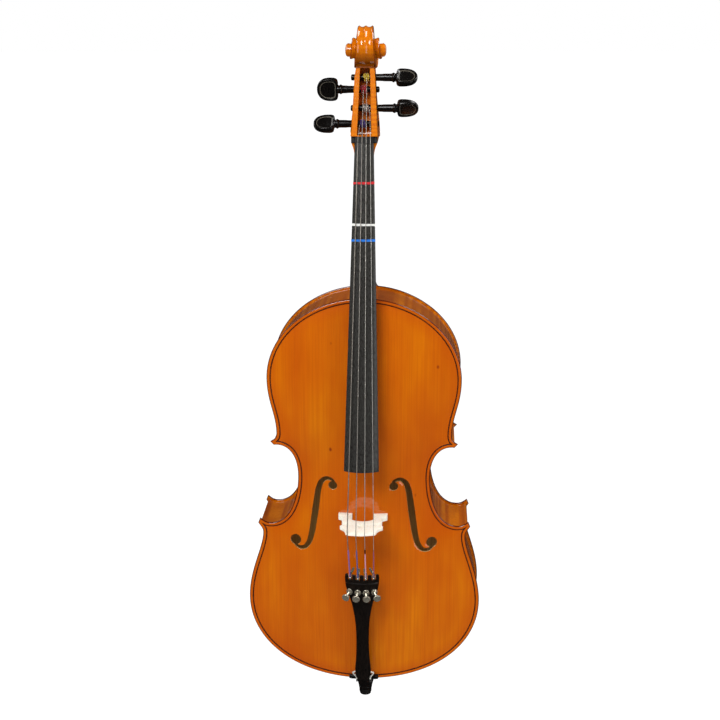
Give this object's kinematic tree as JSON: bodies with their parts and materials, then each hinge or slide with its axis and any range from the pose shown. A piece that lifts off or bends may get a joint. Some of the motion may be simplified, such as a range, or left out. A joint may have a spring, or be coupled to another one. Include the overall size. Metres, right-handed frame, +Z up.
{
  "type": "cello",
  "caption": "Full-size cello with arched amber body, f-shaped sound holes, black fingerboard with coloured finger tapes, carved scroll, fine tuners and a retracted end pin.",
  "frame": {"origin": "centre of the flat end of the rubber foot on the retracted end pin", "axes": "+Z up along the instrument to the scroll, belly and strings face -Y, +X is the treble side"},
  "size_m": [0.439, 0.2679, 1.2967],
  "materials": {
    "varnished_spruce": "amber spirit varnish over spruce, glossy",
    "varnished_maple": "amber spirit varnish over maple, glossy",
    "ebony": "oiled ebony, satin",
    "raw_spruce": "bare split spruce",
    "bare_maple": "bare quarter-cut maple",
    "string_metal": "steel core wound with flat metal ribbon",
    "silk": "coloured silk wrapping on the wound end of the string",
    "nickel": "nickel plate, slightly dulled",
    "steel": "drawn steel rod",
    "foot_rubber": "black rubber",
    "tail_cord": "nylon cord",
    "red_tape": "coloured vinyl tape",
    "white_tape": "white vinyl tape",
    "blue_tape": "coloured vinyl tape"
  },
  "bodies": {
    "cello_body": {"top_plate": "varnished_spruce", "back_plate": "varnished_maple", "rib_upper_left": "varnished_maple", "rib_upper_right": "varnished_maple", "rib_middle_left": "varnished_maple", "rib_middle_right": "varnished_maple", "rib_lower_left": "varnished_maple", "rib_lower_right": "varnished_maple", "neck": "varnished_maple", "fingerboard": "ebony", "nut": "ebony", "saddle": "ebony", "tailpiece": "ebony", "endpin_plug": "ebony", "top_lining": "raw_spruce", "back_lining": "raw_spruce", "top_block": "raw_spruce", "bottom_block": "raw_spruce", "bass_bar": "raw_spruce", "sound_post": "raw_spruce", "corner_block_upper_left": "raw_spruce", "corner_block_upper_right": "raw_spruce", "corner_block_lower_left": "raw_spruce", "corner_block_lower_right": "raw_spruce", "bridge": "bare_maple", "tail_cord": "tail_cord", "string_c": "string_metal", "tuner_collar_c": "nickel", "string_g": "string_metal", "tuner_collar_g": "nickel", "string_d": "string_metal", "tuner_collar_d": "nickel", "string_a": "string_metal", "tuner_collar_a": "nickel", "tape_red": "red_tape", "tape_white": "white_tape", "tape_blue": "blue_tape"},
    "peg_body_c": {"peg_c": "ebony", "peg_winding_c": "silk"},
    "tuner_lift_c": {"tuner_screw_c": "nickel"},
    "tuner_turn_c": {"tuner_knob_c": "nickel"},
    "tuner_rock_c": {"tuner_lever_c": "nickel"},
    "peg_body_g": {"peg_g": "ebony", "peg_winding_g": "silk"},
    "tuner_lift_g": {"tuner_screw_g": "nickel"},
    "tuner_turn_g": {"tuner_knob_g": "nickel"},
    "tuner_rock_g": {"tuner_lever_g": "nickel"},
    "peg_body_d": {"peg_d": "ebony", "peg_winding_d": "silk"},
    "tuner_lift_d": {"tuner_screw_d": "nickel"},
    "tuner_turn_d": {"tuner_knob_d": "nickel"},
    "tuner_rock_d": {"tuner_lever_d": "nickel"},
    "peg_body_a": {"peg_a": "ebony", "peg_winding_a": "silk"},
    "tuner_lift_a": {"tuner_screw_a": "nickel"},
    "tuner_turn_a": {"tuner_knob_a": "nickel"},
    "tuner_rock_a": {"tuner_lever_a": "nickel"},
    "endpin_body": {"endpin_rod": "steel", "endpin_foot": "foot_rubber"},
    "clamp_body": {"endpin_screw": "nickel"}
  },
  "joints": [
    {"name": "peg_c_turn", "type": "hinge", "parent": "cello_body", "child": "peg_body_c", "pos_m": [0, -0.022, 1.129], "axis": [1, 0, 0], "continuous": true},
    {"name": "peg_g_turn", "type": "hinge", "parent": "cello_body", "child": "peg_body_g", "pos_m": [0, -0.00873, 1.188], "axis": [1, 0, 0], "continuous": true},
    {"name": "peg_d_turn", "type": "hinge", "parent": "cello_body", "child": "peg_body_d", "pos_m": [0, -0.00411, 1.2085], "axis": [1, 0, 0], "continuous": true},
    {"name": "peg_a_turn", "type": "hinge", "parent": "cello_body", "child": "peg_body_a", "pos_m": [0, -0.01593, 1.156], "axis": [1, 0, 0], "continuous": true},
    {"name": "tuner_c_lift", "type": "slide", "parent": "cello_body", "child": "tuner_lift_c", "axis": [-0.289, -0.9428, -0.1659], "range_m": [-0.00139, 0.00139]},
    {"name": "tuner_c_turn", "type": "hinge", "parent": "tuner_lift_c", "child": "tuner_turn_c", "pos_m": [-0.0228, -0.1217, 0.278], "axis": [-0.289, -0.9428, -0.1659], "range_deg": [-718, 718]},
    {"name": "tuner_c_rock", "type": "hinge", "parent": "cello_body", "child": "tuner_rock_c", "pos_m": [-0.0219, -0.11741, 0.296], "axis": [1, 0, 0], "range_deg": [-5, 5]},
    {"name": "tuner_g_lift", "type": "slide", "parent": "cello_body", "child": "tuner_lift_g", "axis": [-0.0976, -0.9802, -0.1725], "range_m": [-0.00139, 0.00139]},
    {"name": "tuner_g_turn", "type": "hinge", "parent": "tuner_lift_g", "child": "tuner_turn_g", "pos_m": [-0.0076, -0.12562, 0.278], "axis": [-0.0976, -0.9802, -0.1725], "range_deg": [-718, 718]},
    {"name": "tuner_g_rock", "type": "hinge", "parent": "cello_body", "child": "tuner_rock_g", "pos_m": [-0.0073, -0.12177, 0.296], "axis": [1, 0, 0], "range_deg": [-5, 5]},
    {"name": "tuner_d_lift", "type": "slide", "parent": "cello_body", "child": "tuner_lift_d", "axis": [0.0976, -0.9802, -0.1725], "range_m": [-0.00139, 0.00139]},
    {"name": "tuner_d_turn", "type": "hinge", "parent": "tuner_lift_d", "child": "tuner_turn_d", "pos_m": [0.0076, -0.12562, 0.278], "axis": [0.0976, -0.9802, -0.1725], "range_deg": [-718, 718]},
    {"name": "tuner_d_rock", "type": "hinge", "parent": "cello_body", "child": "tuner_rock_d", "pos_m": [0.0073, -0.12177, 0.296], "axis": [1, 0, 0], "range_deg": [-5, 5]},
    {"name": "tuner_a_lift", "type": "slide", "parent": "cello_body", "child": "tuner_lift_a", "axis": [0.289, -0.9428, -0.1659], "range_m": [-0.00139, 0.00139]},
    {"name": "tuner_a_turn", "type": "hinge", "parent": "tuner_lift_a", "child": "tuner_turn_a", "pos_m": [0.0228, -0.1217, 0.278], "axis": [0.289, -0.9428, -0.1659], "range_deg": [-718, 718]},
    {"name": "tuner_a_rock", "type": "hinge", "parent": "cello_body", "child": "tuner_rock_a", "pos_m": [0.0219, -0.11741, 0.296], "axis": [1, 0, 0], "range_deg": [-5, 5]},
    {"name": "endpin_slide", "type": "slide", "parent": "cello_body", "child": "endpin_body", "axis": [0, 0, -1], "range_m": [0, 0.32]},
    {"name": "clamp_turn", "type": "hinge", "parent": "cello_body", "child": "clamp_body", "pos_m": [0, 0.0043, 0.027], "axis": [0, 1, 0], "range_deg": [0, 270]}
  ],
  "couplings": [
    {"joint": "tuner_c_turn", "follows": "tuner_c_lift", "rad_per_m": 8976},
    {"joint": "tuner_c_rock", "follows": "tuner_c_lift", "rad_per_m": -55.556},
    {"joint": "tuner_g_turn", "follows": "tuner_g_lift", "rad_per_m": 8976},
    {"joint": "tuner_g_rock", "follows": "tuner_g_lift", "rad_per_m": -55.556},
    {"joint": "tuner_d_turn", "follows": "tuner_d_lift", "rad_per_m": 8976},
    {"joint": "tuner_d_rock", "follows": "tuner_d_lift", "rad_per_m": -55.556},
    {"joint": "tuner_a_turn", "follows": "tuner_a_lift", "rad_per_m": 8976},
    {"joint": "tuner_a_rock", "follows": "tuner_a_lift", "rad_per_m": -55.556}
  ]
}
